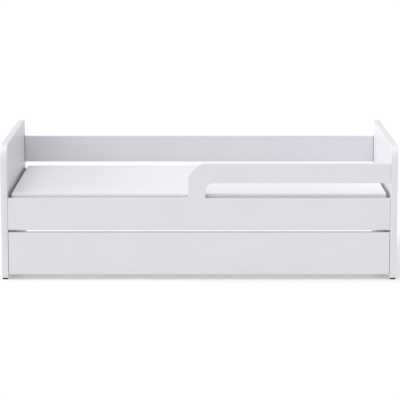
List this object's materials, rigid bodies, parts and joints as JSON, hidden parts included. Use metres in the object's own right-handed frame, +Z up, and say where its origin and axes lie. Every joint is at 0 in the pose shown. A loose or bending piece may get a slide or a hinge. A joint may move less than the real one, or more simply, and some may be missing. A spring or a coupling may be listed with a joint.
{
  "type": "toddler bed",
  "caption": "Low board-framed bed for a small child, with a hooked fall guard on the front rail, a slatted base, a mattress and a roll-out drawer.",
  "frame": {"origin": "on the floor, under the middle of the bed", "axes": "+X along the bed's length towards the end that the guard reaches, +Y from the drawer side to the back, +Z up"},
  "size_m": [1.46, 0.765, 0.5],
  "materials": {
    "panel_board": "white satin melamine-faced board",
    "rail_board": "white satin melamine-faced board",
    "drawer_board": "white satin melamine-faced board",
    "tray_board": "thin white-faced fibreboard, matt",
    "slat_wood": "bare planed softwood",
    "webbing": "woven polyester webbing",
    "mattress_fabric": "smooth white knitted cover over foam",
    "glide_plastic": "black plastic",
    "castor_plastic": "dark grey moulded plastic",
    "wheel_plastic": "grey plastic with a soft tread",
    "fitting_metal": "zinc-plated steel and die-cast zinc"
  },
  "bodies": {
    "frame": {"end_panel_left": "panel_board", "end_panel_right": "panel_board", "front_rail_guard": "rail_board", "back_rail_upper": "rail_board", "back_rail_lower": "rail_board", "slat_ledger_front": "slat_wood", "slat_ledger_rear": "slat_wood", "slat_01": "slat_wood", "slat_02": "slat_wood", "slat_03": "slat_wood", "slat_04": "slat_wood", "slat_05": "slat_wood", "slat_06": "slat_wood", "slat_07": "slat_wood", "slat_08": "slat_wood", "slat_09": "slat_wood", "slat_10": "slat_wood", "slat_11": "slat_wood", "slat_strap_front": "webbing", "slat_strap_rear": "webbing", "glide_front_left": "glide_plastic", "glide_front_right": "glide_plastic", "glide_rear_left": "glide_plastic", "glide_rear_right": "glide_plastic", "cam_front_1_left": "fitting_metal", "cam_bolt_front_1_left": "fitting_metal", "cam_front_1_right": "fitting_metal", "cam_bolt_front_1_right": "fitting_metal", "cam_front_2_left": "fitting_metal", "cam_bolt_front_2_left": "fitting_metal", "cam_front_2_right": "fitting_metal", "cam_bolt_front_2_right": "fitting_metal", "cam_upper_left": "fitting_metal", "cam_bolt_upper_left": "fitting_metal", "cam_upper_right": "fitting_metal", "cam_bolt_upper_right": "fitting_metal", "cam_lower_left": "fitting_metal", "cam_bolt_lower_left": "fitting_metal", "cam_lower_right": "fitting_metal", "cam_bolt_lower_right": "fitting_metal"},
    "mattress": {"mattress": "mattress_fabric"},
    "drawer": {"drawer_front": "drawer_board", "drawer_side_left": "drawer_board", "drawer_side_right": "drawer_board", "drawer_back": "drawer_board", "drawer_divider": "drawer_board", "drawer_bottom_left": "tray_board", "drawer_bottom_right": "tray_board", "castor_housing_front_left": "castor_plastic", "castor_axle_front_left": "fitting_metal", "castor_housing_front_right": "castor_plastic", "castor_axle_front_right": "fitting_metal", "castor_housing_rear_left": "castor_plastic", "castor_axle_rear_left": "fitting_metal", "castor_housing_rear_right": "castor_plastic", "castor_axle_rear_right": "fitting_metal"},
    "wheel_front_left": {"castor_wheel_front_left": "wheel_plastic"},
    "wheel_front_right": {"castor_wheel_front_right": "wheel_plastic"},
    "wheel_rear_left": {"castor_wheel_rear_left": "wheel_plastic"},
    "wheel_rear_right": {"castor_wheel_rear_right": "wheel_plastic"}
  },
  "joints": [
    {"name": "drawer_slide", "type": "slide", "parent": "frame", "child": "drawer", "axis": [0, -1, 0], "range_m": [0, 0.48]},
    {"name": "mattress_lift", "type": "slide", "parent": "frame", "child": "mattress", "axis": [0, 0, 1], "range_m": [0, 0.35]},
    {"name": "wheel_spin_front_left", "type": "hinge", "parent": "drawer", "child": "wheel_front_left", "pos_m": [-0.6833, -0.2792, 0.019], "axis": [1, 0, 0], "continuous": true},
    {"name": "wheel_spin_front_right", "type": "hinge", "parent": "drawer", "child": "wheel_front_right", "pos_m": [0.6833, -0.2792, 0.019], "axis": [1, 0, 0], "continuous": true},
    {"name": "wheel_spin_rear_left", "type": "hinge", "parent": "drawer", "child": "wheel_rear_left", "pos_m": [-0.6833, 0.0128, 0.019], "axis": [1, 0, 0], "continuous": true},
    {"name": "wheel_spin_rear_right", "type": "hinge", "parent": "drawer", "child": "wheel_rear_right", "pos_m": [0.6833, 0.0128, 0.019], "axis": [1, 0, 0], "continuous": true}
  ],
  "couplings": [
    {"joint": "wheel_spin_front_left", "follows": "drawer_slide", "rad_per_m": 52.632},
    {"joint": "wheel_spin_front_right", "follows": "drawer_slide", "rad_per_m": 52.632},
    {"joint": "wheel_spin_rear_left", "follows": "drawer_slide", "rad_per_m": 52.632},
    {"joint": "wheel_spin_rear_right", "follows": "drawer_slide", "rad_per_m": 52.632}
  ]
}
